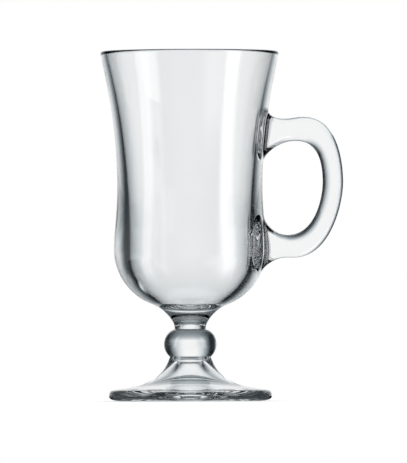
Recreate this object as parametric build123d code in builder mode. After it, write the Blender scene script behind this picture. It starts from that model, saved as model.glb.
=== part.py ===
"""Irish coffee glass mug: five pieces of clear glass, joined face to face while hot.

Millimetres, +Z up. The origin is on the mug's axis, on the plane that it stands on,
and the handle points along +X.
"""

from build123d import *
import os
from math import cos, radians, sin

os.makedirs("parts", exist_ok=True)

# Heights of the stacked pieces, from the table up
foot_height = 18.9
knop_height = 11.7
collar_height = 7.2
bowl_height = 111.2

# Foot: a round plate that rises to a trumpet under the knop
foot_radius = 34.7
foot_edge_height = 2.1  # height of the widest line of the rounded edge
foot_plate_height = 4.6  # height where the rounded edge meets the sloping top
foot_edge_round = 1.5  # how far the rounded edge reaches in over the plate
foot_ring_radius = 28.7  # outer radius of the flat ring that it stands on
foot_ring_width = 3.2
foot_top_radius = 8.75
foot_plate_slope = 10.7  # degrees above the horizontal
foot_plate_arm = 9.4  # how long the top keeps to the slope of the plate
foot_trumpet_slope = 73.0
foot_trumpet_arm = 13.0

# Hollow under the foot: a blunt cone that flares out to the ring
hollow_crown = 3.1  # thickness of the glass above the hollow
hollow_flat_radius = 3.6  # the flat end of the hollow
hollow_corner_width = 1.2  # how far the rounding of the end reaches out
hollow_corner_depth = 1.0  # and down
hollow_slope = 56.0
hollow_arm = 6.0  # how long the side keeps to the slope
hollow_ring_slope = 20.0
hollow_ring_arm = 12.0

# Ball knop
knop_radius = 11.25
knop_widest_height = 5.3  # above the foot

# Collar: flares from the narrow neck to the seat of the bowl
neck_radius = 6.7
neck_arm = 1.0
seat_radius = 10.8
seat_depth = 2.0  # the seat is dished, to fit the rounded base of the bowl
seat_slope = 43.9
seat_arm = 6.1

# Bowl, outside
undercut_radius = 16.6  # where the flare of the collar turns into the round of the bowl
undercut_height = 3.55  # above the seat
undercut_slope = 21.1
undercut_arm_below = 2.2
undercut_arm_above = 8.8
belly_radius = 32.45
belly_height = 26.7
belly_arm_below = 11.4
belly_arm_above = 6.6
waist_radius = 30.95
waist_height = 53.7
waist_arm_below = 10.4
waist_arm_above = 26.6
rim_radius = 37.95
rim_slope = 79.7
rim_arm = 9.2

# Bowl, inside
lip_thickness = 2.55
lip_round = 1.7  # how far the lip's rounding pulls upwards
belly_wall = 6.75
cavity_floor_height = 3.7  # above the seat
cavity_belly_height = 25.2
cavity_floor_arm = 14.0
cavity_corner_arm = 12.8
cavity_side_arm = 52.5
cavity_rim_slope = 78.8
cavity_rim_arm = 10.0

# Handle: a flat-sided loop, with its places given outwards from the waist and upwards from the seat
handle_thickness = 10.0
handle_outer_round = 2.6
handle_inner_depth = 4.8  # the side towards the finger hole is a half ellipse of this depth
handle_grip_width = 8.75
grip_out = 34.3  # the outermost point
grip_up = 55.2
hole_top_out = 14.05
hole_top_up = 72.75
hole_bottom_out = 10.55
hole_bottom_up = 32.85
upper_arm_out = 17.35  # the highest point of the outer edge
upper_arm_width = 10.25  # above the top of the finger hole
lower_arm_out = 13.05  # the lowest level point of the outer edge
lower_arm_width = 9.75  # below the bottom of the finger hole

# Roundness of the loop: how far each edge keeps level, and keeps upright, as a share of its corner
upper_corner_level = 0.83
upper_corner_upright = 0.37
lower_corner_level = 0.75
lower_corner_upright = 0.28
hole_upper_corner_level = 0.63
hole_upper_corner_upright = 0.72
hole_lower_corner_level = 0.83
hole_lower_corner_upright = 0.23

# Roots of the handle: each edge spreads in a curve that ends inside the wall
root_sink = 6.0  # inwards from the waist
root_flare = 4.0  # how much each side face spreads towards the buried end
root_flare_share = 0.45  # share of an arm over which it fades
upper_root_up = 92.1
upper_root_slope = -50.4
upper_root_arm = 18.0
upper_root_level = 7.0
hole_top_root_up = 56.2
hole_top_root_slope = 57.9
hole_top_root_arm = 11.4
hole_top_root_level = 9.0
hole_bottom_root_up = 52.2
hole_bottom_root_slope = -65.3
hole_bottom_root_arm = 11.6
hole_bottom_root_level = 8.0
lower_root_up = 12.5
lower_root_slope = 47.6
lower_root_arm = 16.0
lower_root_level = 5.3
sections_per_span = 6

# Stations along the axis
knop_base = foot_height
collar_base = knop_base + knop_height
seat_height = collar_base + collar_height
rim_top = seat_height + bowl_height
lip_base = rim_top - 0.75 * lip_round

# The turned pieces are drawn on the side away from the handle
lathe_plane = Plane((0, 0, 0), x_dir=(-1, 0, 0), z_dir=(0, 1, 0))


def along(point, degrees, length):
    """The point at a length from another, in a direction given in degrees above +X."""
    return (
        point[0] + length * cos(radians(degrees)),
        point[1] + length * sin(radians(degrees)),
    )


# Points of the outlines, as radius and height
foot_seam = (foot_top_radius, foot_height)
foot_plate_edge = (foot_radius - foot_edge_round, foot_plate_height)
foot_widest = (foot_radius, foot_edge_height)
foot_ring_outer = (foot_ring_radius, 0)
foot_ring_inner = (foot_ring_radius - foot_ring_width, 0)
hollow_top = (hollow_flat_radius, foot_height - hollow_crown)
hollow_side = (hollow_top[0] + hollow_corner_width, hollow_top[1] - hollow_corner_depth)
hollow_corner = along(hollow_side, 180 - hollow_slope, hollow_corner_depth / sin(radians(hollow_slope)))
neck = (neck_radius, collar_base)
seat = (seat_radius, seat_height)
seat_centre = (0, seat_height - seat_depth)
undercut = (undercut_radius, seat_height + undercut_height)
belly = (belly_radius, seat_height + belly_height)
waist = (waist_radius, seat_height + waist_height)
rim = (rim_radius, lip_base)
cavity_rim = (rim_radius - lip_thickness, lip_base)
cavity_belly = (belly_radius - belly_wall, seat_height + cavity_belly_height)
cavity_floor = (0, seat_height + cavity_floor_height)
cavity_mouth = (0, lip_base)


def draw_bowl_outside():
    """The outside of the bowl, from the lowest point of its base up to the lip."""
    TangentArc(seat_centre, seat, tangent=(1, 0))
    Bezier(
        seat,
        along(seat, seat_slope, undercut_arm_below),
        along(undercut, undercut_slope, -undercut_arm_below),
        undercut,
    )
    Bezier(
        undercut,
        along(undercut, undercut_slope, undercut_arm_above),
        along(belly, -90, belly_arm_below),
        belly,
    )
    Bezier(
        belly,
        along(belly, 90, belly_arm_above),
        along(waist, -90, waist_arm_below),
        waist,
    )
    Bezier(
        waist,
        along(waist, 90, waist_arm_above),
        along(rim, rim_slope, -rim_arm),
        rim,
    )


with BuildPart() as foot:
    with BuildSketch(lathe_plane):
        with BuildLine():
            Polyline((0, foot_height), (0, hollow_top[1]), hollow_top)
            Bezier(hollow_top, hollow_corner, hollow_side)
            Bezier(
                hollow_side,
                along(hollow_side, -hollow_slope, hollow_arm),
                along(foot_ring_inner, 180 - hollow_ring_slope, hollow_ring_arm),
                foot_ring_inner,
            )
            Line(foot_ring_inner, foot_ring_outer)
            Bezier(foot_ring_outer, (foot_radius, 0), foot_widest)
            Bezier(
                foot_widest,
                along(foot_plate_edge, 180 - foot_plate_slope, -foot_edge_round),
                foot_plate_edge,
            )
            Bezier(
                foot_plate_edge,
                along(foot_plate_edge, 180 - foot_plate_slope, foot_plate_arm),
                along(foot_seam, 180 - foot_trumpet_slope, -foot_trumpet_arm),
                foot_seam,
            )
            Line(foot_seam, (0, foot_height))
        make_face()
    revolve(axis=Axis.Z)
foot.part.label = "foot"
export_step(foot.part, "parts/foot.step")


with BuildPart() as ball_knop:
    with BuildSketch(lathe_plane):
        with BuildLine():
            Polyline((0, collar_base), (0, knop_base), foot_seam)
            ThreePointArc(foot_seam, (knop_radius, knop_base + knop_widest_height), neck)
            Line(neck, (0, collar_base))
        make_face()
    revolve(axis=Axis.Z)
ball_knop.part.label = "ball_knop"
export_step(ball_knop.part, "parts/ball_knop.step")


with BuildPart() as stem_collar:
    with BuildSketch(lathe_plane):
        with BuildLine():
            Polyline(seat_centre, (0, collar_base), neck)
            Bezier(
                neck,
                along(neck, 90, neck_arm),
                along(seat, seat_slope, -seat_arm),
                seat,
            )
            TangentArc(seat_centre, seat, tangent=(1, 0))
        make_face()
    revolve(axis=Axis.Z)
stem_collar.part.label = "stem_collar"
export_step(stem_collar.part, "parts/stem_collar.step")


with BuildPart() as bowl:
    with BuildSketch(lathe_plane):
        with BuildLine():
            draw_bowl_outside()
            Bezier(
                rim,
                along(rim, rim_slope, lip_round),
                along(cavity_rim, cavity_rim_slope, lip_round),
                cavity_rim,
            )
            Polyline(cavity_rim, cavity_mouth, seat_centre)
        make_face()
    revolve(axis=Axis.Z)
    with BuildSketch(lathe_plane):
        with BuildLine():
            Bezier(
                cavity_rim,
                along(cavity_rim, cavity_rim_slope, -cavity_rim_arm),
                along(cavity_belly, 90, cavity_side_arm),
                cavity_belly,
            )
            Bezier(
                cavity_belly,
                along(cavity_belly, -90, cavity_corner_arm),
                along(cavity_floor, 0, cavity_floor_arm),
                cavity_floor,
            )
            Polyline(cavity_floor, cavity_mouth, cavity_rim)
        make_face()
    revolve(axis=Axis.Z, mode=Mode.SUBTRACT)
bowl.part.label = "bowl"
export_step(bowl.part, "parts/bowl.step")


def from_waist(outwards, upwards):
    """A point in the plane of the handle, from the bowl's waist and the seat."""
    return (waist_radius + outwards, seat_height + upwards)


def corner(level_end, upright_end, level_share, upright_share):
    """Control points of a rounded corner, from its level end to its upright end."""
    width = upright_end[0] - level_end[0]
    height = level_end[1] - upright_end[1]
    return [
        level_end,
        (level_end[0] + level_share * width, level_end[1]),
        (upright_end[0], upright_end[1] + upright_share * height),
        upright_end,
    ]


def root(upwards, slope, arm, level_length, level_end):
    """Control points of an edge near the bowl, from its buried end to its level end."""
    buried_end = from_waist(-root_sink, upwards)
    return [
        buried_end,
        along(buried_end, slope, arm),
        along(level_end, 180, level_length),
        level_end,
    ]


upper_arm = from_waist(upper_arm_out, hole_top_up + upper_arm_width)
grip = from_waist(grip_out, grip_up)
lower_arm = from_waist(lower_arm_out, hole_bottom_up - lower_arm_width)
hole_top = from_waist(hole_top_out, hole_top_up)
hole_grip = from_waist(grip_out - handle_grip_width, grip_up)
hole_bottom = from_waist(hole_bottom_out, hole_bottom_up)

upper_root = root(upper_root_up, upper_root_slope, upper_root_arm, upper_root_level, upper_arm)
upper_corner = corner(upper_arm, grip, upper_corner_level, upper_corner_upright)
lower_corner = corner(lower_arm, grip, lower_corner_level, lower_corner_upright)
lower_root = root(lower_root_up, lower_root_slope, lower_root_arm, lower_root_level, lower_arm)
hole_top_root = root(
    hole_top_root_up, hole_top_root_slope, hole_top_root_arm, hole_top_root_level, hole_top
)
hole_upper_corner = corner(hole_top, hole_grip, hole_upper_corner_level, hole_upper_corner_upright)
hole_lower_corner = corner(
    hole_bottom, hole_grip, hole_lower_corner_level, hole_lower_corner_upright
)
hole_bottom_root = root(
    hole_bottom_root_up,
    hole_bottom_root_slope,
    hole_bottom_root_arm,
    hole_bottom_root_level,
    hole_bottom,
)

# Four spans of the loop from the upper root to the lower one, by their outer edge and finger hole
outer_edges = [
    Bezier(*upper_root),
    Bezier(*upper_corner),
    Bezier(*reversed(lower_corner)),
    Bezier(*reversed(lower_root)),
]
hole_edges = [
    Bezier(*hole_top_root),
    Bezier(*hole_upper_corner),
    Bezier(*reversed(hole_lower_corner)),
    Bezier(*reversed(hole_bottom_root)),
]
span_count = len(outer_edges)

with BuildPart() as handle:
    for section_number in range(span_count * sections_per_span + 1):
        place = section_number / sections_per_span
        span = min(int(place), span_count - 1)
        outer = outer_edges[span] @ (place - span)
        inner = hole_edges[span] @ (place - span)
        across = Vector(outer.X - inner.X, 0, outer.Y - inner.Y)
        middle = Vector((outer.X + inner.X) / 2, 0, (outer.Y + inner.Y) / 2)
        flare_share = max(0, 1 - min(place, span_count - place) / root_flare_share)
        thickness = handle_thickness + 2 * root_flare * flare_share**2
        section_plane = Plane(middle, x_dir=across, z_dir=across.cross(Vector(0, 1, 0)))
        outer_face = across.length / 2
        side_face = thickness / 2
        round_start = outer_face - handle_outer_round
        round_height = side_face - handle_outer_round
        ellipse_centre = handle_inner_depth - outer_face
        with BuildSketch(section_plane):
            with BuildLine():
                Line((ellipse_centre, -side_face), (round_start, -side_face))
                CenterArc((round_start, -round_height), handle_outer_round, 270, 90)
                Line((outer_face, -round_height), (outer_face, round_height))
                CenterArc((round_start, round_height), handle_outer_round, 0, 90)
                Line((round_start, side_face), (ellipse_centre, side_face))
                EllipticalCenterArc(
                    (ellipse_centre, 0),
                    handle_inner_depth,
                    side_face,
                    start_angle=90,
                    arc_size=180,
                )
            make_face()
    loft()
    with BuildSketch(lathe_plane):
        with BuildLine():
            draw_bowl_outside()
            Polyline(rim, cavity_mouth, seat_centre)
        make_face()
    revolve(axis=Axis.Z, mode=Mode.SUBTRACT)
handle.part.label = "handle"
export_step(handle.part, "parts/handle.step")
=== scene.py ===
"""Looks of the irish coffee glass mug: clear glass on a pale floor, in soft studio light.

Outlines are in millimetres, as radius and height or as X and Z. Finished pieces and the stage are
in metres. Slopes are in degrees above the horizontal, and an arm is how far a curve keeps to its
slope.
"""

import math
from typing import NamedTuple

import bpy
import numpy as np
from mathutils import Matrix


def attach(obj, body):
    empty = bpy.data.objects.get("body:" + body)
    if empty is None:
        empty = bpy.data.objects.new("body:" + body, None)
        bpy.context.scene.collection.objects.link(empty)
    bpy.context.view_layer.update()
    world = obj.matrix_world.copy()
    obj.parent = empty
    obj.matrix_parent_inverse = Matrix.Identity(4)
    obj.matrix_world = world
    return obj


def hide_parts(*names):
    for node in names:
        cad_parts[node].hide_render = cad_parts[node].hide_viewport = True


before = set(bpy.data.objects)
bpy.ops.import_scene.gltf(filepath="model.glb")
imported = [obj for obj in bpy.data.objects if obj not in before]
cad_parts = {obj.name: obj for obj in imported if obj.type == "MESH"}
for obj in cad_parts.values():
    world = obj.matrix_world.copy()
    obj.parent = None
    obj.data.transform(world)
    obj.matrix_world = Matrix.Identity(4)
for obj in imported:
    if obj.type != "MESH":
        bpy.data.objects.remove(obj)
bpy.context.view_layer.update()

MM = 0.001
OUTWARDS, UP, INWARDS, DOWN = 0, 90, 180, -90
HALF_TURN = 180

# Heights of the stacked pieces, from the table up
FOOT_HEIGHT = 18.9
KNOP_HEIGHT = 11.7
COLLAR_HEIGHT = 7.2
BOWL_HEIGHT = 111.2

# Foot: a round plate that rises to a trumpet under the knop
FOOT_RADIUS = 34.7
FOOT_EDGE_HEIGHT = 2.1  # height of the widest line of the rounded edge
FOOT_PLATE_HEIGHT = 4.6  # height where the rounded edge meets the sloping top
FOOT_EDGE_ROUND = 1.5
FOOT_RING_RADIUS = 28.7  # outer radius of the flat ring that it stands on
FOOT_RING_WIDTH = 3.2
FOOT_TOP_RADIUS = 8.75
FOOT_PLATE_SLOPE = 10.7
FOOT_PLATE_ARM = 9.4
FOOT_TRUMPET_SLOPE = 73.0
FOOT_TRUMPET_ARM = 13.0

# Hollow under the foot: a blunt cone that flares out to the ring
HOLLOW_CROWN = 3.1  # thickness of the glass above the hollow
HOLLOW_FLAT_RADIUS = 3.6
HOLLOW_CORNER_PULL = 0.5  # how far the rounding of the end holds level
HOLLOW_CORNER_WIDTH = 1.2
HOLLOW_CORNER_DEPTH = 1.0
HOLLOW_SLOPE = 56.0
HOLLOW_ARM = 6.0
HOLLOW_RING_SLOPE = 20.0
HOLLOW_RING_ARM = 12.0

# Ball knop
KNOP_RADIUS = 11.25
KNOP_WIDEST_HEIGHT = 5.3  # above the foot

# Collar: flares from the narrow neck to the dished seat of the bowl
NECK_RADIUS = 6.7
NECK_ARM = 1.0
SEAT_RADIUS = 10.8
SEAT_DEPTH = 2.0
SEAT_SLOPE = 43.9
SEAT_ARM = 6.1

# Bowl, outside, with heights above the seat
UNDERCUT_RADIUS = 16.6  # where the flare of the collar turns into the round of the bowl
UNDERCUT_HEIGHT = 3.55
UNDERCUT_SLOPE = 21.1
UNDERCUT_ARM_BELOW = 2.2
UNDERCUT_ARM_ABOVE = 8.8
BELLY_RADIUS = 32.45
BELLY_HEIGHT = 26.7
BELLY_ARM_BELOW = 11.4
BELLY_ARM_ABOVE = 6.6
WAIST_RADIUS = 30.95
WAIST_HEIGHT = 53.7
WAIST_ARM_BELOW = 10.4
WAIST_ARM_ABOVE = 26.6
RIM_RADIUS = 37.95
RIM_SLOPE = 79.7
RIM_ARM = 9.2

# Bowl, inside
LIP_THICKNESS = 2.55
LIP_ROUND = 1.7  # how far the lip's rounding pulls upwards
LIP_RISE_SHARE = 0.75  # share of that pull by which the lip rises
BELLY_WALL = 6.75
CAVITY_FLOOR_HEIGHT = 3.7
CAVITY_BELLY_HEIGHT = 25.2
CAVITY_FLOOR_ARM = 14.0
CAVITY_CORNER_ARM = 12.8
CAVITY_SIDE_ARM = 52.5
CAVITY_RIM_SLOPE = 78.8
CAVITY_RIM_ARM = 10.0

# Handle: a flat-sided loop, with its places given outwards from the waist and upwards from the seat
HANDLE_THICKNESS = 10.0
OUTER_ROUND = 2.6
INNER_DEPTH = 4.8  # the side towards the finger hole is a half ellipse of this depth
GRIP_WIDTH = 8.75
GRIP_OUT = 34.3
GRIP_UP = 55.2
HOLE_TOP_OUT = 14.05
HOLE_TOP_UP = 72.75
HOLE_BOTTOM_OUT = 10.55
HOLE_BOTTOM_UP = 32.85
UPPER_ARM_OUT = 17.35
UPPER_ARM_WIDTH = 10.25  # above the top of the finger hole
LOWER_ARM_OUT = 13.05
LOWER_ARM_WIDTH = 9.75  # below the bottom of the finger hole

# Roundness of the loop: how far an edge keeps level, and keeps upright, as shares of its corner
UPPER_CORNER = (0.83, 0.37)
LOWER_CORNER = (0.75, 0.28)
HOLE_UPPER_CORNER = (0.63, 0.72)
HOLE_LOWER_CORNER = (0.83, 0.23)

# Roots of the handle: height of an edge's buried end, its slope and arm there, and its level arm
UPPER_ROOT = (92.1, -50.4, 18.0, 7.0)
HOLE_TOP_ROOT = (56.2, 57.9, 11.4, 9.0)
HOLE_BOTTOM_ROOT = (52.2, -65.3, 11.6, 8.0)
LOWER_ROOT = (12.5, 47.6, 16.0, 5.3)
ROOT_SINK = 6.0  # inwards from the waist
ROOT_FLARE = 4.0  # how much each side face spreads towards the buried end
ROOT_FLARE_SHARE = 0.45  # share of an arm over which it fades
ROOT_FILLET = 2.4

# Fineness of the meshes: lengths between points, and counts
WALL_STEP = 0.85
FLAT_STEP = 0.8
CAVITY_STEP = 0.6
SEAT_STEP = 0.35
SLOPE_STEP = 0.3
ROUND_STEP = 0.2
TIGHT_STEP = 0.15
TURNS = 256
CURVE_SAMPLES = 400
LENGTH_SAMPLES = 100
WALL_SAMPLES = 1500
ARC_POINTS = 24
ACROSS_SIDES = 26
FLAT_SIDES = 44
LOOP_POINTS = 2 * (ACROSS_SIDES + FLAT_SIDES)
LOOP_STATIONS = 150
SPAN_SAMPLES = 200
FILLET_STATIONS = 7
FILLET_SEARCH = 0.6  # share of a span in which the upper end of a fillet lies
PATCH_ROWS = 6
BLEND_ROWS = 7
SHARP_COSINE = 0.97  # an outline is sharp where the cosine of its turn is lower

# Glass: tints, and the size and depth of the waviness of fire polish in metres
GLASS_IOR = 1.52
BOWL_TINT = (0.965, 0.974, 0.976)
STEM_TINT = (0.962, 0.974, 0.974)
# Darker tint of the bowl's lower part: partly the deeper tint of its thick glass, partly painted
# shade
THICK_TINT_AND_SHADE = (0.875, 0.89, 0.897)  # of the bowl's solid bottom
TINT_AND_SHADE_HEIGHTS = (0.040, 0.062)  # the bottom's tint is full below the first and gone above the second
BOWL_RIPPLE = (0.022, 0.00002)
STEM_RIPPLE = (0.012, 0.00001)
HANDLE_RIPPLE = (0.014, 0.00002)
CLOUD_SCALE = 28.0
CLOUD_DETAIL = 2.0
CLOUD_LIMITS = (0.3, 0.7)
CLOUD_SHADE = 0.992
RIPPLE_DETAIL = 1.0

# Order of the materials on each piece
GLASS, SEAM = 0, 1

# Levels at the limits of a smooth change
RISING, FALLING = (0.0, 1.0), (1.0, 0.0)

# Sockets of a mix of colours: factor, first and second colour, and the result
COLOUR_MIX_INPUTS, COLOUR_MIX_RESULT = (0, 6, 7), 2

# Stations along the axis
KNOP_BASE = FOOT_HEIGHT
COLLAR_BASE = KNOP_BASE + KNOP_HEIGHT
SEAT_HEIGHT = COLLAR_BASE + COLLAR_HEIGHT
LIP_BASE = SEAT_HEIGHT + BOWL_HEIGHT - LIP_RISE_SHARE * LIP_ROUND


# Lines
def along(point, slope, length):
    """The point at a length from another, in the direction of a slope."""
    angle = math.radians(slope)
    return (point[0] + length * math.cos(angle), point[1] + length * math.sin(angle))


def bend(start, start_slope, start_arm, end, end_slope, end_arm):
    """Control points of a curve, with the slope at which it runs and its arm at each end."""
    return [start, along(start, start_slope, start_arm), along(end, end_slope, -end_arm), end]


def run_along(line):
    """The length from the start of a line to each of its points."""
    return np.r_[0, np.cumsum(np.linalg.norm(np.diff(line, axis=0), axis=1))]


def evenly(line, count):
    """A line's points again, evenly spaced by length."""
    run = run_along(line)
    at = np.linspace(0, run[-1], count + 1)
    return np.stack([np.interp(at, run, line[:, i]) for i in range(line.shape[1])], axis=1)


def bezier(points, count):
    """Points along a Bezier curve, evenly spaced by length."""
    degree = len(points) - 1
    t = np.linspace(0, 1, CURVE_SAMPLES)[:, None]
    line = sum(
        math.comb(degree, i) * t**i * (1 - t) ** (degree - i) * np.array(point, float)
        for i, point in enumerate(points)
    )
    return evenly(line, count)


def curve(points, step):
    """A Bezier curve with points about a step apart."""
    length = run_along(bezier(points, LENGTH_SAMPLES))[-1]
    return bezier(points, max(2, round(length / step)))


def straight(start, end, step):
    """A straight line with points about a step apart."""
    start, end = np.array(start, float), np.array(end, float)
    count = max(2, round(np.linalg.norm(end - start) / step))
    return start + np.linspace(0, 1, count + 1)[:, None] * (end - start)


def dish(centre, edge, step):
    """An arc that is level at a point on the axis and ends at an edge."""
    rise = edge[1] - centre[1]
    radius = (edge[0] ** 2 + rise**2) / (2 * rise)
    count = max(4, round(edge[0] / step))
    angles = np.linspace(0, math.asin(edge[0] / radius), count + 1)
    return np.stack([radius * np.sin(angles), centre[1] + radius * (1 - np.cos(angles))], axis=1)


def arc_through(start, middle, end, step):
    """A circle's arc through three points."""
    a, b, c = (np.array(p, float) for p in (start, middle, end))
    rows = np.array([b - a, c - b])
    centre = np.linalg.solve(rows, [(b @ b - a @ a) / 2, (c @ c - b @ b) / 2])
    radius = np.linalg.norm(a - centre)
    first, last = (math.atan2(p[1] - centre[1], p[0] - centre[0]) for p in (a, c))
    count = max(8, round(abs(last - first) * radius / step))
    angles = np.linspace(first, last, count + 1)
    return centre + radius * np.stack([np.cos(angles), np.sin(angles)], axis=1)


def ellipse_arc(centre, radii, first, last):
    """Points of an ellipse's arc between two angles in degrees."""
    angles = np.radians(np.linspace(first, last, ARC_POINTS))
    offsets = np.stack([radii[0] * np.cos(angles), radii[1] * np.sin(angles)], axis=1)
    return np.array(centre) + offsets


# Points of the outlines, as radius and height
foot_seam = (FOOT_TOP_RADIUS, FOOT_HEIGHT)
foot_plate_edge = (FOOT_RADIUS - FOOT_EDGE_ROUND, FOOT_PLATE_HEIGHT)
foot_widest = (FOOT_RADIUS, FOOT_EDGE_HEIGHT)
foot_ring_outer = (FOOT_RING_RADIUS, 0)
foot_ring_inner = (FOOT_RING_RADIUS - FOOT_RING_WIDTH, 0)
hollow_top = (HOLLOW_FLAT_RADIUS, FOOT_HEIGHT - HOLLOW_CROWN)
hollow_corner = along(hollow_top, OUTWARDS, HOLLOW_CORNER_PULL)
hollow_side = (hollow_top[0] + HOLLOW_CORNER_WIDTH, hollow_top[1] - HOLLOW_CORNER_DEPTH)
neck = (NECK_RADIUS, COLLAR_BASE)
seat = (SEAT_RADIUS, SEAT_HEIGHT)
seat_centre = (0, SEAT_HEIGHT - SEAT_DEPTH)
undercut = (UNDERCUT_RADIUS, SEAT_HEIGHT + UNDERCUT_HEIGHT)
belly = (BELLY_RADIUS, SEAT_HEIGHT + BELLY_HEIGHT)
waist = (WAIST_RADIUS, SEAT_HEIGHT + WAIST_HEIGHT)
rim = (RIM_RADIUS, LIP_BASE)
cavity_rim = (RIM_RADIUS - LIP_THICKNESS, LIP_BASE)
cavity_belly = (BELLY_RADIUS - BELLY_WALL, SEAT_HEIGHT + CAVITY_BELLY_HEIGHT)
cavity_floor = (0, SEAT_HEIGHT + CAVITY_FLOOR_HEIGHT)

# The seat, and the bowl's outside above its flare
seat_dish = dish(seat_centre, seat, SEAT_STEP)
wall_spans = [
    bend(undercut, UNDERCUT_SLOPE, UNDERCUT_ARM_ABOVE, belly, UP, BELLY_ARM_BELOW),
    bend(belly, UP, BELLY_ARM_ABOVE, waist, UP, WAIST_ARM_BELOW),
    bend(waist, UP, WAIST_ARM_ABOVE, rim, RIM_SLOPE, RIM_ARM),
]
wall_dense = np.concatenate([bezier(span, WALL_SAMPLES)[:-1] for span in wall_spans] + [[rim]])
wall_outline = evenly(wall_dense, round(run_along(wall_dense)[-1] / WALL_STEP))


def wall_radius(height):
    """Radius of the bowl's outside at a height."""
    return np.interp(height, wall_dense[:, 1], wall_dense[:, 0])


def on_wall(angle, height):
    """Points on the bowl's outside."""
    radius = wall_radius(height)
    return np.stack([radius * np.cos(angle), radius * np.sin(angle), height], axis=-1)


# Materials
class Nodes:
    """Adds nodes to the tree of a material or a world and joins them."""

    def __init__(self, owner):
        owner.use_nodes = True
        self.tree = owner.node_tree

    def add(self, kind, **values):
        """Adds a node of a kind and sets its values."""
        made = self.tree.nodes.new(kind)
        for key, value in values.items():
            setattr(made, key, value)
        return made

    def feed(self, socket, value):
        """Joins a socket to an output, or sets it to a number or colour."""
        if isinstance(value, bpy.types.NodeSocket):
            self.tree.links.new(value, socket)
        else:
            socket.default_value = value

    def split(self, vector):
        """The X, Y and Z of a vector."""
        parts = self.add("ShaderNodeSeparateXYZ")
        self.feed(parts.inputs["Vector"], vector)
        return [parts.outputs[name] for name in "XYZ"]

    def noise(self, place, scale, detail):
        """Soft, cloudy values from 0 to 1."""
        made = self.add("ShaderNodeTexNoise")
        self.feed(made.inputs["Vector"], place)
        self.feed(made.inputs["Scale"], scale)
        self.feed(made.inputs["Detail"], detail)
        return made.outputs["Fac"]

    def ramp(self, value, limits, levels):
        """Goes smoothly from one level to another while a value crosses its limits."""
        made = self.add("ShaderNodeMapRange", interpolation_type="SMOOTHSTEP")
        for name, number in zip(("From Min", "From Max", "To Min", "To Max"), (*limits, *levels)):
            self.feed(made.inputs[name], number)
        self.feed(made.inputs["Value"], value)
        return made.outputs["Result"]

    def compute(self, operation, first, *others):
        """Applies an operation to values, one after the other."""
        for other in others:
            made = self.add("ShaderNodeMath", operation=operation)
            self.feed(made.inputs[0], first)
            self.feed(made.inputs[1], other)
            first = made.outputs[0]
        return first

    def function(self, operation, value):
        """Applies an operation that takes one value."""
        made = self.add("ShaderNodeMath", operation=operation)
        self.feed(made.inputs[0], value)
        return made.outputs[0]

    def mix_level(self, factor, first, second):
        """A value that goes from the first to the second by a factor."""
        made = self.add("ShaderNodeMix", data_type="FLOAT")
        for name, value in (("Factor", factor), ("A", first), ("B", second)):
            self.feed(made.inputs[name], value)
        return made.outputs["Result"]

    def mix_colour(self, factor, first, second):
        """A colour that goes from the first to the second by a factor."""
        made = self.add("ShaderNodeMix", data_type="RGBA")
        for number, value in zip(COLOUR_MIX_INPUTS, (factor, first, second)):
            self.feed(made.inputs[number], value)
        return made.outputs[COLOUR_MIX_RESULT]

    def mix_shader(self, factor, first, second):
        """A shader that goes from the first to the second by a factor."""
        made = self.add("ShaderNodeMixShader")
        for socket, value in zip(made.inputs, (factor, first, second)):
            self.feed(socket, value)
        return made.outputs["Shader"]

    def shades(self, value, limits, dark, light):
        """A colour that goes from dark to light while a value crosses its limits."""
        made = self.add("ShaderNodeValToRGB")
        for element, limit, colour in zip(made.color_ramp.elements, limits, (dark, light)):
            element.position = limit
            element.color = (*colour, 1)
        self.feed(made.inputs["Fac"], value)
        return made.outputs["Color"]


def clear_glass(name, tint, ripple, thick_tint_and_shade=None):
    """Polished glass with a faint change of tint and the shallow waviness of fire polish.

    The last argument is (heights, tint): below the first height the glass takes a darker tint,
    partly the deeper tint of thick glass and partly painted shade on the lower part, which is gone
    above the second.
    """
    material = bpy.data.materials.new(name)
    nodes = Nodes(material)
    shader = nodes.tree.nodes["Principled BSDF"]
    shader.inputs["Roughness"].default_value = 0.0
    shader.inputs["IOR"].default_value = GLASS_IOR
    shader.inputs["Transmission Weight"].default_value = 1.0
    place = nodes.add("ShaderNodeTexCoord").outputs["Object"]

    cloud = nodes.noise(place, CLOUD_SCALE, CLOUD_DETAIL)
    colour = nodes.shades(cloud, CLOUD_LIMITS, [c * CLOUD_SHADE for c in tint], tint)
    # The lower part takes a darker tint: partly the deeper tint of thick glass, partly painted shade
    if thick_tint_and_shade:
        heights, deep = thick_tint_and_shade
        above = nodes.ramp(nodes.split(place)[2], heights, RISING)
        colour = nodes.mix_colour(above, (*deep, 1), colour)
    nodes.feed(shader.inputs["Base Color"], colour)

    ripple_size, ripple_depth = ripple
    bump = nodes.add("ShaderNodeBump")
    bump.inputs["Strength"].default_value = 1.0
    bump.inputs["Distance"].default_value = ripple_depth
    nodes.feed(bump.inputs["Height"], nodes.noise(place, 1 / ripple_size, RIPPLE_DETAIL))
    nodes.feed(shader.inputs["Normal"], bump.outputs["Normal"])
    return material


def fused_seam():
    """Where two gathers of hot glass have run together, light passes as if nothing were there."""
    material = bpy.data.materials.new("fused_seam")
    nodes = Nodes(material)
    nodes.tree.nodes.clear()
    output = nodes.add("ShaderNodeOutputMaterial")
    through = nodes.add("ShaderNodeBsdfTransparent")
    nodes.feed(output.inputs["Surface"], through.outputs["BSDF"])
    return material


seam_glass = fused_seam()
bowl_glass = clear_glass("bowl_glass", BOWL_TINT, BOWL_RIPPLE, (TINT_AND_SHADE_HEIGHTS, THICK_TINT_AND_SHADE))
stem_glass = clear_glass("stem_glass", STEM_TINT, STEM_RIPPLE)
handle_glass = clear_glass("handle_glass", BOWL_TINT, HANDLE_RIPPLE)


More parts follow.
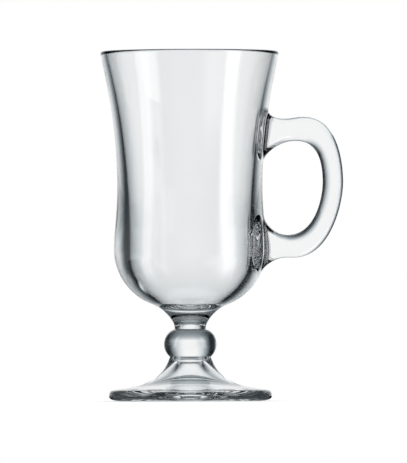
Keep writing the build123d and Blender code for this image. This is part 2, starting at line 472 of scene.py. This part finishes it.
# Meshes
class Mesh:
    """Collects points in millimetres and faces with a material each."""

    def __init__(self):
        self.points = []
        self.faces = []
        self.kinds = []
        self.sharp = set()

    def add(self, points):
        """Adds points and gives their numbers, in the shape of the array."""
        points = np.asarray(points, float)
        first = len(self.points)
        self.points.extend(points.reshape(-1, 3).tolist())
        return np.arange(first, len(self.points)).reshape(points.shape[:-1])

    def face(self, kind, *corners):
        """Adds a face of a material, by the numbers of its corners."""
        self.faces.append([int(c) for c in corners])
        self.kinds.append(kind)

    def strip(self, kind, lower, upper):
        """Quads between two closed rows of points."""
        for i in range(len(lower)):
            j = (i + 1) % len(lower)
            self.face(kind, lower[i], lower[j], upper[j], upper[i])

    def fan(self, kind, row, tip):
        """Triangles between a closed row and a point."""
        for i in range(len(row)):
            self.face(kind, row[i], row[(i + 1) % len(row)], tip)

    def crease(self, row):
        """Marks a closed row of points as a sharp edge."""
        for i in range(len(row)):
            a, b = int(row[i]), int(row[(i + 1) % len(row)])
            self.sharp.add((min(a, b), max(a, b)))

    def make(self, name, glass):
        """Makes the piece that takes the place of the node of that name."""
        mesh = bpy.data.meshes.new(name)
        mesh.from_pydata([[c * MM for c in p] for p in self.points], [], self.faces)
        mesh.update()
        for material in (glass, seam_glass):
            mesh.materials.append(material)
        mesh.polygons.foreach_set("material_index", self.kinds)
        mesh.shade_smooth()
        flags = np.zeros(len(mesh.edges), bool)
        for edge in mesh.edges:
            a, b = edge.vertices
            flags[edge.index] = (min(a, b), max(a, b)) in self.sharp
        sharp = mesh.attributes.new("sharp_edge", "BOOLEAN", "EDGE")
        sharp.data.foreach_set("value", flags)
        piece = bpy.data.objects.new(name, mesh)
        bpy.context.scene.collection.objects.link(piece)
        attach(piece, "root")
        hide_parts(name)


turn_angles = (np.arange(TURNS) + 0.5) / TURNS * 2 * math.pi - math.pi


def ring(point):
    """A circle of points about the axis."""
    radius, height = point
    across, deep = radius * np.cos(turn_angles), radius * np.sin(turn_angles)
    return np.stack([across, deep, np.full(TURNS, height)], axis=1)


def turned(mesh, spans, windows=()):
    """Turns an outline about the axis. It runs from the axis to the axis, anticlockwise.

    Spans are (points, material). Windows, which stay open, are (first row, last row, first column,
    last column), with rows counted along the outline. Returns the rows of point numbers.
    """
    rows, kinds, corners = [], [], []
    for points, kind in spans:
        if rows:
            before = rows[-1] - rows[-2]
            after = points[1] - points[0]
            cosine = before @ after / np.linalg.norm(before) / np.linalg.norm(after)
            if cosine < SHARP_COSINE:
                corners.append(len(rows) - 1)
        rows.extend(points[1:] if rows else points)
        kinds.extend([kind] * (len(points) - 1))
    first = mesh.add([(0, 0, rows[0][1])])[0]
    last = mesh.add([(0, 0, rows[-1][1])])[0]
    numbers = [None] + [mesh.add(ring(p)) for p in rows[1:-1]] + [None]
    mesh.fan(kinds[0], numbers[1][::-1], first)
    for i in range(1, len(rows) - 2):
        lower, upper = numbers[i], numbers[i + 1]
        for j in range(TURNS):
            if any(low <= i < high and left <= j < right for low, high, left, right in windows):
                continue
            k = (j + 1) % TURNS
            mesh.face(kinds[i], lower[j], lower[k], upper[k], upper[j])
    mesh.fan(kinds[-1], numbers[-2], last)
    for i in corners:
        mesh.crease(numbers[i])
    return numbers


# Foot
hollow_flank = bend(
    hollow_side, -HOLLOW_SLOPE, HOLLOW_ARM, foot_ring_inner, -HOLLOW_RING_SLOPE, HOLLOW_RING_ARM
)
plate_upwards = HALF_TURN - FOOT_PLATE_SLOPE
trumpet_upwards = HALF_TURN - FOOT_TRUMPET_SLOPE
edge_corner = along(foot_plate_edge, plate_upwards, -FOOT_EDGE_ROUND)
foot_top = bend(
    foot_plate_edge, plate_upwards, FOOT_PLATE_ARM, foot_seam, trumpet_upwards, FOOT_TRUMPET_ARM
)
foot_mesh = Mesh()
turned(
    foot_mesh,
    [
        (straight((0, hollow_top[1]), hollow_top, FLAT_STEP), GLASS),
        (curve([hollow_top, hollow_corner, hollow_side], TIGHT_STEP), GLASS),
        (curve(hollow_flank, SLOPE_STEP), GLASS),
        (straight(foot_ring_inner, foot_ring_outer, FLAT_STEP), GLASS),
        (curve([foot_ring_outer, (FOOT_RADIUS, 0), foot_widest], ROUND_STEP), GLASS),
        (curve([foot_widest, edge_corner, foot_plate_edge], TIGHT_STEP), GLASS),
        (curve(foot_top, SLOPE_STEP), GLASS),
        (straight(foot_seam, (0, FOOT_HEIGHT), FLAT_STEP), SEAM),
    ],
)
foot_mesh.make("foot", stem_glass)

# Ball knop
knop_widest = (KNOP_RADIUS, KNOP_BASE + KNOP_WIDEST_HEIGHT)
knop_mesh = Mesh()
turned(
    knop_mesh,
    [
        (straight((0, KNOP_BASE), foot_seam, FLAT_STEP), SEAM),
        (arc_through(foot_seam, knop_widest, neck, ROUND_STEP), GLASS),
        (straight(neck, (0, COLLAR_BASE), FLAT_STEP), SEAM),
    ],
)
knop_mesh.make("ball_knop", stem_glass)

# Stem collar
collar_mesh = Mesh()
turned(
    collar_mesh,
    [
        (straight((0, COLLAR_BASE), neck, FLAT_STEP), SEAM),
        (curve(bend(neck, UP, NECK_ARM, seat, SEAT_SLOPE, SEAT_ARM), TIGHT_STEP), GLASS),
        (seat_dish[::-1], SEAM),
    ],
)
collar_mesh.make("stem_collar", stem_glass)


# Handle: edges of the loop in its own plane
def from_waist(outwards, upwards):
    """A point in the plane of the handle, from the bowl's waist and the seat."""
    return (WAIST_RADIUS + outwards, SEAT_HEIGHT + upwards)


def corner(level_end, upright_end, level_share, upright_share):
    """Control points of a rounded corner, from its level end to its upright end."""
    width = upright_end[0] - level_end[0]
    height = level_end[1] - upright_end[1]
    return [
        level_end,
        (level_end[0] + level_share * width, level_end[1]),
        (upright_end[0], upright_end[1] + upright_share * height),
        upright_end,
    ]


def root(level_end, upwards, slope, arm, level_arm):
    """Control points of an edge near the bowl, from its buried end to its level end."""
    return bend(from_waist(-ROOT_SINK, upwards), slope, arm, level_end, OUTWARDS, level_arm)


upper_arm = from_waist(UPPER_ARM_OUT, HOLE_TOP_UP + UPPER_ARM_WIDTH)
grip = from_waist(GRIP_OUT, GRIP_UP)
lower_arm = from_waist(LOWER_ARM_OUT, HOLE_BOTTOM_UP - LOWER_ARM_WIDTH)
hole_top = from_waist(HOLE_TOP_OUT, HOLE_TOP_UP)
hole_grip = from_waist(GRIP_OUT - GRIP_WIDTH, GRIP_UP)
hole_bottom = from_waist(HOLE_BOTTOM_OUT, HOLE_BOTTOM_UP)
outer_spans = [
    root(upper_arm, *UPPER_ROOT),
    corner(upper_arm, grip, *UPPER_CORNER),
    corner(lower_arm, grip, *LOWER_CORNER)[::-1],
    root(lower_arm, *LOWER_ROOT)[::-1],
]
hole_spans = [
    root(hole_top, *HOLE_TOP_ROOT),
    corner(hole_top, hole_grip, *HOLE_UPPER_CORNER),
    corner(hole_bottom, hole_grip, *HOLE_LOWER_CORNER)[::-1],
    root(hole_bottom, *HOLE_BOTTOM_ROOT)[::-1],
]
span_count = len(outer_spans)


def on_spans(spans, place):
    """The point at a place along a row of Bezier spans, one unit each."""
    span = min(int(place), span_count - 1)
    t = place - span
    a, b, c, d = (np.array(p) for p in spans[span])
    return (1 - t) ** 3 * a + 3 * t * (1 - t) ** 2 * b + 3 * t * t * (1 - t) * c + t**3 * d


def section(width, thickness):
    """The handle's section, from the middle of one corner round. First axis outwards, second +Y."""
    u, v = width / 2, thickness / 2
    outer, inner = (OUTER_ROUND, OUTER_ROUND), (INNER_DEPTH, v)
    plus, minus = (u - OUTER_ROUND, v - OUTER_ROUND), (u - OUTER_ROUND, OUTER_ROUND - v)
    middle = (INNER_DEPTH - u, 0)
    outer_side = [ellipse_arc(minus, outer, -45, 0), ellipse_arc(plus, outer, 0, 45)]
    plus_side = [ellipse_arc(plus, outer, 45, 90), ellipse_arc(middle, inner, 90, 135)]
    inner_side = [ellipse_arc(middle, inner, 135, 180), ellipse_arc(middle, inner, 180, 225)]
    minus_side = [ellipse_arc(middle, inner, 225, 270), ellipse_arc(minus, outer, 270, 315)]
    counts = (ACROSS_SIDES, FLAT_SIDES, ACROSS_SIDES, FLAT_SIDES)
    sides = zip((outer_side, plus_side, inner_side, minus_side), counts)
    return np.concatenate([evenly(np.concatenate(side), count)[:-1] for side, count in sides])


def handle_row(place):
    """The handle's section at a place from 0, the upper buried end, to the lower one."""
    outer, inner = on_spans(outer_spans, place), on_spans(hole_spans, place)
    middle, across = (outer + inner) / 2, outer - inner
    width = np.linalg.norm(across)
    across = across / width
    share = max(0, 1 - min(place, span_count - place) / ROOT_FLARE_SHARE)
    flat = section(width, HANDLE_THICKNESS + 2 * ROOT_FLARE * share**2)
    return np.stack(
        [middle[0] + flat[:, 0] * across[0], flat[:, 1], middle[1] + flat[:, 0] * across[1]],
        axis=1,
    )


places = np.linspace(0, span_count, span_count * SPAN_SAMPLES + 1)
dense_rows = np.stack([handle_row(p) for p in places])
outside = np.hypot(dense_rows[..., 0], dense_rows[..., 1]) - wall_radius(dense_rows[..., 2])


def line_at(k, at):
    """Points of one lengthwise line of the handle."""
    return np.stack([np.interp(at, places, dense_rows[:, k, i]) for i in range(3)], axis=-1)


def row_at(at):
    """A row of points round the handle, each at its own place."""
    return np.stack([line_at(k, at[k]) for k in range(LOOP_POINTS)])


# Places where each lengthwise line leaves the bowl's wall and comes back to it
starts, ends = np.zeros(LOOP_POINTS), np.zeros(LOOP_POINTS)
for k in range(LOOP_POINTS):
    clear = np.nonzero(outside[:, k] > 0)[0]
    leaving, returning = [clear[0] - 1, clear[0]], [clear[-1], clear[-1] + 1]
    starts[k] = np.interp(0, outside[leaving, k], places[leaving])
    ends[k] = np.interp(0, -outside[returning, k], places[returning])


def root_loops(crossings, inwards):
    """The fillet round a root: its loop on the bowl, its rows of points, and its upper ends.

    The loop is in angle and height, and the upper ends are places along the handle.
    """
    crossing = row_at(crossings)
    angle = np.arctan2(crossing[:, 1], crossing[:, 0])
    height = crossing[:, 2]
    flat = np.stack([angle * wall_radius(height), height], axis=1)
    step = np.roll(flat, -1, axis=0) - np.roll(flat, 1, axis=0)
    normal = np.stack([step[:, 1], -step[:, 0]], axis=1)
    normal /= np.linalg.norm(normal, axis=1)[:, None]
    if np.sum(normal * (flat - flat.mean(axis=0))) < 0:
        normal = -normal
    spread = flat + ROOT_FILLET * normal
    loop = np.stack([spread[:, 0] / wall_radius(spread[:, 1]), spread[:, 1]], axis=1)
    low_ends = on_wall(loop[:, 0], loop[:, 1])
    upper_ends = np.zeros(LOOP_POINTS)
    for k in range(LOOP_POINTS):
        at = crossings[k] + inwards * np.linspace(0, FILLET_SEARCH, SPAN_SAMPLES)
        upper_ends[k] = np.interp(ROOT_FILLET, run_along(line_at(k, at)), at)
    high_ends = row_at(upper_ends)
    rows = [
        (1 - t) ** 2 * low_ends + 2 * t * (1 - t) * crossing + t * t * high_ends
        for t in np.linspace(0, 1, FILLET_STATIONS + 1)
    ]
    return loop, rows, upper_ends


def close_loop(mesh, row, loop, turn=1):
    """Closes a loop on the bowl with seam faces, from its row of points to its middle."""
    middle = loop.mean(axis=0)
    for i in range(1, PATCH_ROWS + 1):
        spots = loop + (middle - loop) * i / (PATCH_ROWS + 1)
        inner = mesh.add(on_wall(spots[:, 0], spots[:, 1]))
        mesh.strip(SEAM, row[::turn], inner[::turn])
        row = inner
    mesh.fan(SEAM, row[::turn], mesh.add([on_wall(*middle)])[0])


upper_loop, upper_rows, upper_ends = root_loops(starts, 1)
lower_loop, lower_rows, lower_ends = root_loops(ends, -1)
handle_mesh = Mesh()
handle_rows = [handle_mesh.add(row) for row in upper_rows]
for share in np.linspace(0, 1, LOOP_STATIONS + 1)[1:-1]:
    handle_rows.append(handle_mesh.add(row_at(upper_ends + share * (lower_ends - upper_ends))))
handle_rows += [handle_mesh.add(row) for row in reversed(lower_rows)]
for lower, upper in zip(handle_rows, handle_rows[1:]):
    handle_mesh.strip(GLASS, upper, lower)
for loop, row, turn in ((upper_loop, handle_rows[0], 1), (lower_loop, handle_rows[-1], -1)):
    handle_mesh.crease(row)
    close_loop(handle_mesh, row, loop, turn)
handle_mesh.make("handle", handle_glass)

# Bowl: the wall has a window round each root of the handle, filled to the root's own outline
bowl_flare = curve(
    bend(seat, SEAT_SLOPE, UNDERCUT_ARM_BELOW, undercut, UNDERCUT_SLOPE, UNDERCUT_ARM_BELOW),
    SLOPE_STEP,
)
cavity_downwards = CAVITY_RIM_SLOPE - HALF_TURN
lip = bend(rim, RIM_SLOPE, LIP_ROUND, cavity_rim, cavity_downwards, LIP_ROUND)
cavity_side = bend(
    cavity_rim, cavity_downwards, CAVITY_RIM_ARM, cavity_belly, DOWN, CAVITY_SIDE_ARM
)
cavity_bottom = bend(
    cavity_belly, DOWN, CAVITY_CORNER_ARM, cavity_floor, INWARDS, CAVITY_FLOOR_ARM
)
wall_start = len(seat_dish) + len(bowl_flare) - 2  # row of the outline where the wall begins
first_column = TURNS // 2 - ACROSS_SIDES // 2
last_column = first_column + ACROSS_SIDES
windows = []
for loop in (upper_loop, lower_loop):
    middle = (loop[:, 1].min() + loop[:, 1].max()) / 2
    first_row = wall_start + int(np.argmin(abs(wall_outline[:, 1] - middle))) - FLAT_SIDES // 2
    windows.append((first_row, first_row + FLAT_SIDES, first_column, last_column))

bowl_mesh = Mesh()
bowl_numbers = turned(
    bowl_mesh,
    [
        (seat_dish, SEAM),
        (bowl_flare, GLASS),
        (wall_outline, GLASS),
        (curve(lip, TIGHT_STEP), GLASS),
        (curve(cavity_side, WALL_STEP), GLASS),
        (curve(cavity_bottom, CAVITY_STEP), GLASS),
    ],
    windows,
)


def anticlockwise(loop):
    """A loop in angle and height, turned round where it runs clockwise."""
    onwards = np.roll(loop, -1, axis=0)
    area = np.sum(loop[:, 0] * onwards[:, 1] - loop[:, 1] * onwards[:, 0])
    return loop if area >= 0 else loop[::-1]


def started_nearest(loop, spots):
    """A loop that starts where its points lie nearest to as many spots round it."""
    scale = np.array([wall_radius(loop[:, 1].mean()), 1])
    starts_at = [np.roll(loop, shift, axis=0) for shift in range(LOOP_POINTS)]
    return min(starts_at, key=lambda turn: np.sum(((turn - spots) * scale) ** 2))


for loop, (low, high, left, right) in zip((upper_loop, lower_loop), windows):
    edge = (
        [(low, j) for j in range(left, right)]
        + [(i, right) for i in range(low, high)]
        + [(high, j) for j in range(right, left, -1)]
        + [(i, left) for i in range(high, low, -1)]
    )
    spots = np.array([[turn_angles[j], wall_outline[i - wall_start, 1]] for i, j in edge])
    loop = started_nearest(anticlockwise(loop), spots)
    row = np.array([bowl_numbers[i][j] for i, j in edge])
    for i in range(1, BLEND_ROWS + 1):
        blended = spots + (loop - spots) * i / BLEND_ROWS
        inner = bowl_mesh.add(on_wall(blended[:, 0], blended[:, 1]))
        bowl_mesh.strip(GLASS, row, inner)
        row = inner
    close_loop(bowl_mesh, row, loop)
bowl_mesh.make("bowl", bowl_glass)


# Stage
class Light(NamedTuple):
    """A light at a compass point, which is 0 behind the mug and 90 at its right.

    Width gives the degrees from there where it starts to fade and where it ends. Base and top are
    (height where it has its least level, height where it is full, least level), in degrees.
    """

    compass: float
    width: tuple
    base: tuple
    top: tuple
    strength: float


ALWAYS_FULL = (0, 1, 1.0)
BACK_LIGHT = Light(2, (5, 44), (-25, -5, 0.4), (26, 8, 0.0), 1.0)
UPPER_LIGHT = Light(0, (6, 43), (-5, 5, 0.0), (60, 40, 0.1), 1.0)
LEFT_LIGHT = Light(-90, (4, 36), (-30, -12, 0.1), (40, 10, 0.05), 1.0)
FRONT_LIGHT = Light(180, (10, 60), (-50, -10, 0.2), (60, 20, 0.5), 0.25)
LOW_LIGHT = Light(-45, (3, 13), (-38, -30, 0.0), (-19, -24, 0.0), 0.9)
SLOT_LIGHT = Light(135, (10, 40), ALWAYS_FULL, (-8, -16, 0.0), 1.0)
LIGHTS = (BACK_LIGHT, UPPER_LIGHT, LEFT_LIGHT, FRONT_LIGHT, LOW_LIGHT, SLOT_LIGHT)
SOFTBOX_LEVEL = 3.2
SOFTBOX_BASE, SOFTBOX_TOP = (-50, -40, 0.0), (50, 40, 0.0)
SOFTBOXES = (
    Light(-110, (4, 14), SOFTBOX_BASE, SOFTBOX_TOP, SOFTBOX_LEVEL),
    Light(119, (6, 17), SOFTBOX_BASE, SOFTBOX_TOP, SOFTBOX_LEVEL),
)
SOFTBOX_THROUGH = 0.3  # share of a softbox's level that shows through glass
CEILING_HEIGHTS, CEILING_LEVELS = (30, 75), (0.015, 0.3)
DIM_TONE, WHITE = (0.80, 0.95, 1.05), (1, 1, 1)  # dim surroundings are a little cool

# Floor: distances from the axis, degrees from a compass point, and levels
FLOOR_REACH = 0.28
FLOOR_BACK = 0.42  # how much further it runs behind the mug
FLOOR_DROP = 0.0001  # below the ring that the mug stands on
FLOOR_SIDES = 96
FLOOR_COLOUR = (0.97, 0.97, 0.97, 1)
PAPER_FADE = (0.035, 0.05)  # where the paper turns into the white backdrop
# Painted glow of the floor, seen only through glass: painted light towards the back light, the slot,
# under the foot and at the softboxes, and painted shade between
BACK_LEVELS = (1.0, 0.03)  # towards the back light and away from it
BACK_RISE, BACK_RISE_LEVELS = (0.0, 0.26), (0.06, 1.0)
SLOT_WIDTH, SLOT_RISE = (8, 26), (0.08, 0.18)
UNDER_FADE = (0.024, 0.036)  # edge of the light patch under the foot
UNDER_TURN, UNDER_LEVELS = (60, 120), (0.45, 0.8)
SOFTBOX_RISE = (0.04, 0.12)
GAP_WIDTH, GAP_RISE = (14, 28), (0.075, 0.12)
LEAST_LENGTH = 0.00001  # keeps the compass angle defined straight up and down


def turn_from(nodes, x, y, compass):
    """Degrees between a level direction and a compass point."""
    angle = math.radians(compass)
    squares = [nodes.compute("MULTIPLY", side, side) for side in (x, y)]
    length = nodes.function("SQRT", nodes.compute("ADD", *squares))
    facing = nodes.compute(
        "ADD",
        nodes.compute("MULTIPLY", x, math.sin(angle)),
        nodes.compute("MULTIPLY", y, math.cos(angle)),
    )
    cosine = nodes.compute("DIVIDE", facing, nodes.compute("MAXIMUM", length, LEAST_LENGTH))
    cosine = nodes.compute("MAXIMUM", nodes.compute("MINIMUM", cosine, 1.0), -1.0)
    return nodes.compute("MULTIPLY", nodes.function("ARCCOSINE", cosine), math.degrees(1))


def floor_material():
    """Pale paper with the mug's soft shadow, which runs out into the white backdrop.

    Glass sees a painted glow there instead: towards the back light, in a slot at the front right, at
    the softboxes and in a patch under the foot, with painted shade between, and a gap towards the
    low light.
    """
    material = bpy.data.materials.new("pale_floor")
    nodes = Nodes(material)
    nodes.tree.nodes.clear()
    output = nodes.add("ShaderNodeOutputMaterial")
    place = nodes.add("ShaderNodeTexCoord").outputs["Object"]
    x, y, _ = nodes.split(place)
    length = nodes.add("ShaderNodeVectorMath", operation="LENGTH")
    nodes.feed(length.inputs[0], place)
    distance = length.outputs["Value"]
    ray = nodes.add("ShaderNodeLightPath").outputs
    by_glass = nodes.compute("MAXIMUM", ray["Is Transmission Ray"], ray["Is Glossy Ray"])

    matt = nodes.add("ShaderNodeBsdfDiffuse")
    matt.inputs["Color"].default_value = FLOOR_COLOUR
    white = nodes.add("ShaderNodeEmission")
    whiteness = nodes.ramp(distance, PAPER_FADE, RISING)
    paper = nodes.mix_shader(whiteness, matt.outputs["BSDF"], white.outputs["Emission"])

    # Painted light on the floor for glass: towards the back light, in a slot at the front right, and
    # under the foot
    off_back = turn_from(nodes, x, y, BACK_LIGHT.compass)
    to_back = nodes.compute(
        "MULTIPLY",
        nodes.ramp(off_back, BACK_LIGHT.width, BACK_LEVELS),
        nodes.ramp(distance, BACK_RISE, BACK_RISE_LEVELS),
    )
    to_slot = nodes.compute(
        "MULTIPLY",
        nodes.ramp(turn_from(nodes, x, y, SLOT_LIGHT.compass), SLOT_WIDTH, FALLING),
        nodes.ramp(distance, SLOT_RISE, RISING),
    )
    under = nodes.compute(
        "MULTIPLY",
        nodes.ramp(distance, UNDER_FADE, FALLING),
        nodes.ramp(off_back, UNDER_TURN, UNDER_LEVELS),
    )
    level = nodes.compute("MAXIMUM", to_back, to_slot, under)
    # Painted reflections of the softboxes on the floor, for glass
    softbox_share = nodes.mix_level(ray["Is Transmission Ray"], 1.0, SOFTBOX_THROUGH)
    for box in SOFTBOXES:
        glow = nodes.compute(
            "MULTIPLY",
            nodes.ramp(turn_from(nodes, x, y, box.compass), box.width, FALLING),
            nodes.ramp(distance, SOFTBOX_RISE, RISING),
            box.strength,
            softbox_share,
        )
        level = nodes.compute("MAXIMUM", level, glow)
    # Painted light and shade on the floor, seen only through glass: it glows by these levels and is
    # dim between
    painted_floor_glow = nodes.add("ShaderNodeEmission")
    nodes.feed(painted_floor_glow.inputs["Color"], nodes.shades(level, (0, 1), DIM_TONE, WHITE))
    nodes.feed(painted_floor_glow.inputs["Strength"], level)
    surface = nodes.mix_shader(by_glass, paper, painted_floor_glow.outputs["Emission"])

    gap = nodes.compute(
        "MULTIPLY",
        nodes.ramp(turn_from(nodes, x, y, LOW_LIGHT.compass), GAP_WIDTH, FALLING),
        nodes.ramp(distance, GAP_RISE, RISING),
        by_glass,
    )
    past = nodes.add("ShaderNodeBsdfTransparent").outputs["BSDF"]
    nodes.feed(output.inputs["Surface"], nodes.mix_shader(gap, surface, past))
    return material


floor_points = []
for i in range(FLOOR_SIDES):
    angle = 2 * math.pi * (i + 0.5) / FLOOR_SIDES
    shift = FLOOR_BACK if math.sin(angle) > 0 else 0
    across, deep = FLOOR_REACH * math.cos(angle), FLOOR_REACH * math.sin(angle) + shift
    floor_points.append((across, deep, -FLOOR_DROP))
floor_mesh = bpy.data.meshes.new("floor")
floor_mesh.from_pydata(floor_points, [], [list(range(FLOOR_SIDES))])
floor_mesh.materials.append(floor_material())
floor = bpy.data.objects.new("floor", floor_mesh)
bpy.context.scene.collection.objects.link(floor)


# World: white for the camera. Glass shows the lights and the dark between, which draw its outlines
def world_level(nodes):
    """How bright the surroundings are in each direction, for each kind of ray."""
    direction = nodes.add("ShaderNodeTexCoord").outputs["Generated"]
    x, y, z = nodes.split(direction)
    height = nodes.compute("MULTIPLY", nodes.function("ARCSINE", z), math.degrees(1))
    ray = nodes.add("ShaderNodeLightPath").outputs
    by_glass = nodes.compute("MAXIMUM", ray["Is Transmission Ray"], ray["Is Glossy Ray"])

    def panel(light):
        """The level of one light."""
        base_least, base_full, base_level = light.base
        top_least, top_full, top_level = light.top
        return nodes.compute(
            "MULTIPLY",
            nodes.ramp(turn_from(nodes, x, y, light.compass), light.width, FALLING),
            nodes.ramp(height, (base_least, base_full), (base_level, 1.0)),
            nodes.ramp(height, (top_full, top_least), (1.0, top_level)),
            light.strength,
        )

    softbox_share = nodes.mix_level(ray["Is Transmission Ray"], 1.0, SOFTBOX_THROUGH)
    seen = nodes.compute(
        "MAXIMUM",
        nodes.ramp(height, CEILING_HEIGHTS, CEILING_LEVELS),
        *[panel(light) for light in LIGHTS],
        *[nodes.compute("MULTIPLY", panel(box), softbox_share) for box in SOFTBOXES],
    )
    level = nodes.mix_level(by_glass, 1.0, seen)
    return nodes.mix_level(ray["Is Camera Ray"], level, 1.0)


world = bpy.data.worlds.new("studio")
bpy.context.scene.world = world
world_nodes = Nodes(world)
world_nodes.tree.nodes.clear()
brightness = world_level(world_nodes)
background = world_nodes.add("ShaderNodeBackground")
colour = world_nodes.shades(brightness, (0, 1), DIM_TONE, WHITE)
world_nodes.feed(background.inputs["Color"], colour)
world_nodes.feed(background.inputs["Strength"], brightness)
world_output = world_nodes.add("ShaderNodeOutputWorld")
world_nodes.feed(world_output.inputs["Surface"], background.outputs["Background"])

# Camera: far off and just above the table, as in the photograph
CAMERA_PLACE = (0.00558, -5.0, 0.01513)
CAMERA_AIM_RISE = 0.057  # how far the line of sight rises on its way to the mug
CAMERA_ROLL = 0.16  # degrees
CAMERA_LENS = 913
CAMERA_SENSOR = 36
CAMERA_REACH = 100
camera_data = bpy.data.cameras.new("camera")
camera_data.sensor_width = CAMERA_SENSOR
camera_data.lens = CAMERA_LENS
camera_data.clip_end = CAMERA_REACH
camera = bpy.data.objects.new("camera", camera_data)
bpy.context.scene.collection.objects.link(camera)
bpy.context.scene.camera = camera
camera.location = CAMERA_PLACE
camera_tilt = math.radians(90) + math.atan2(CAMERA_AIM_RISE, -CAMERA_PLACE[1])
camera.rotation_euler = (camera_tilt, math.radians(CAMERA_ROLL), 0)

# Light passes many faces of glass, but few mirrorings, which keeps the thick parts dark
PASSES = 48
MIRRORINGS = 11
scene = bpy.context.scene
scene.view_settings.view_transform = "Standard"
scene.cycles.max_bounces = PASSES
scene.cycles.transmission_bounces = PASSES
scene.cycles.glossy_bounces = MIRRORINGS
scene.cycles.transparent_max_bounces = PASSES
